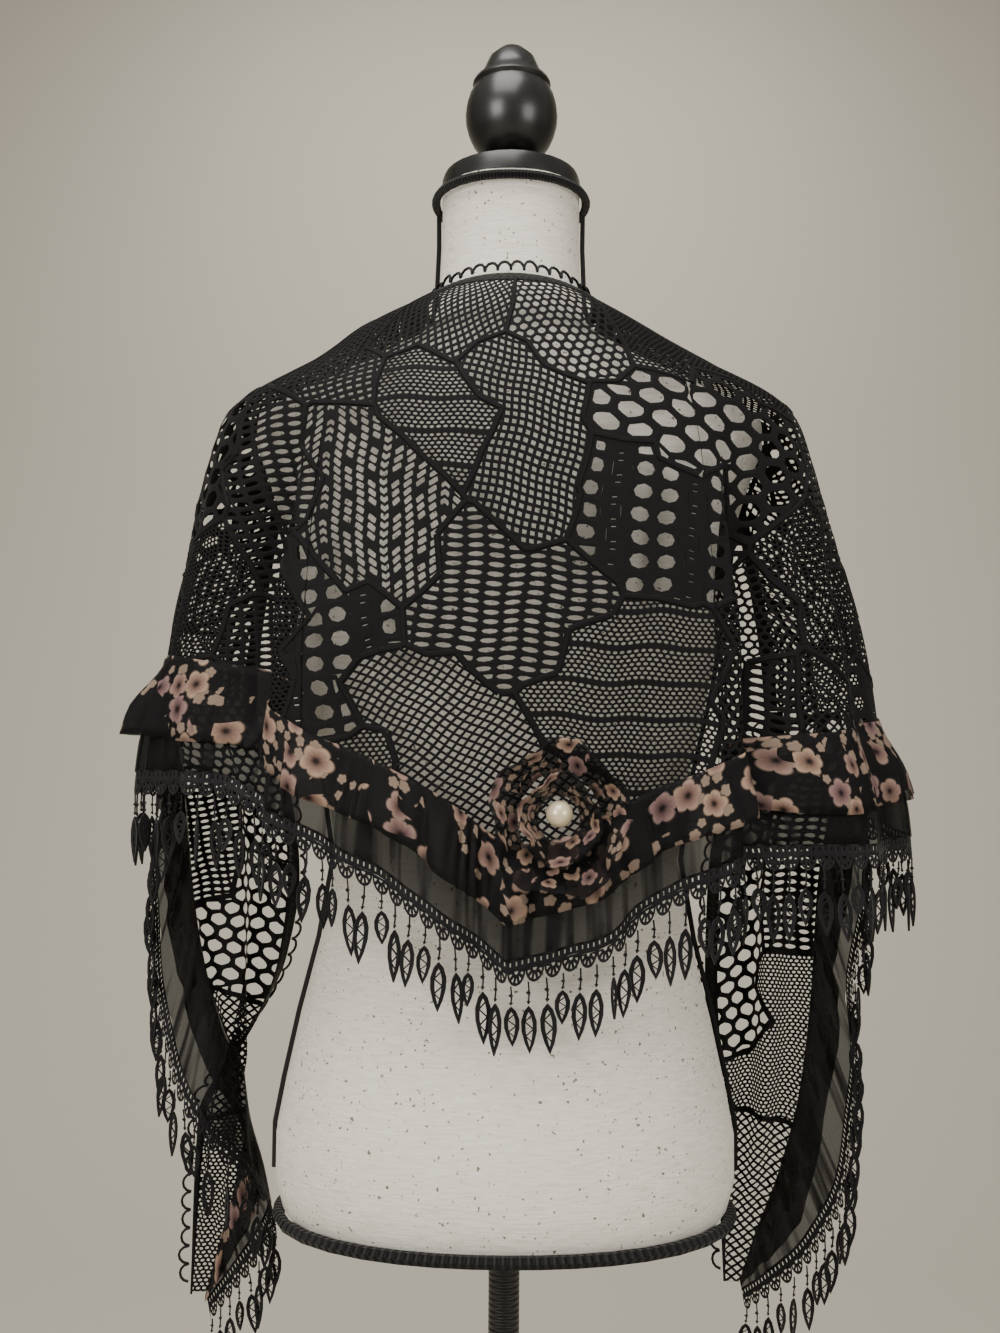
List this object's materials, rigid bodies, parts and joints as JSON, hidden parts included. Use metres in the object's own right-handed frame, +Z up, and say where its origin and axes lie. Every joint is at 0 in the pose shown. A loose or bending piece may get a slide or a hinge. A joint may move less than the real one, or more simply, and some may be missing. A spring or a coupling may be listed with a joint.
{
  "type": "lace shawl on a dress form",
  "caption": "Triangular patchwork lace shawl with floral ruffle, sheer flounce, leaf fringe and a rosette, worn by a limbless dress form on a pole and round base.",
  "frame": {"origin": "centre of the underside of the round base", "axes": "+Z up the pole; -Y towards the back of the form, where the shawl's show side faces"},
  "size_m": [0.5512, 0.34, 1.3273],
  "materials": {
    "lace": "black raschel knit lace, matte",
    "gimp_braid": "black gimp braid with loop edge",
    "sheer_chiffon": "sheer black chiffon",
    "floral_chiffon": "black chiffon printed with dusty rose blossoms",
    "guipure": "black guipure lace, corded",
    "pearl": "champagne pearl, lustrous",
    "form_cover": "off-white slubby woven cover with dark flecks",
    "form_braid": "black braid",
    "painted_wood": "black satin paint on turned wood",
    "painted_stand": "black satin paint"
  },
  "bodies": {
    "root": {"lace_back": "lace", "lace_arm_left": "lace", "lace_arm_right": "lace", "lace_tail_left": "lace", "lace_tail_right": "lace", "edge_braid_neck": "gimp_braid", "edge_braid_front_left": "gimp_braid", "edge_braid_front_right": "gimp_braid", "edge_braid_tail_left": "gimp_braid", "edge_braid_tail_right": "gimp_braid", "sheer_flounce_back": "sheer_chiffon", "sheer_flounce_left": "sheer_chiffon", "sheer_flounce_right": "sheer_chiffon", "floral_ruffle_back": "floral_chiffon", "floral_ruffle_left": "floral_chiffon", "floral_ruffle_right": "floral_chiffon", "rosette_outer": "floral_chiffon", "rosette_inner": "floral_chiffon", "guipure_trim_back": "guipure", "guipure_trim_left": "guipure", "guipure_trim_right": "guipure", "leaf_fringe_back": "guipure", "leaf_fringe_left": "guipure", "leaf_fringe_right": "guipure", "pearl": "pearl", "torso": "form_cover", "form_hem_braid": "form_braid", "form_neck_braid": "form_braid", "form_side_cord_left": "form_braid", "form_side_cord_right": "form_braid", "neck_cap": "painted_wood", "finial_collar": "painted_wood", "finial_ball": "painted_wood", "finial_dome": "painted_wood", "pole": "painted_stand", "pole_collar": "painted_stand", "base_plate": "painted_stand"}
  },
  "joints": []
}
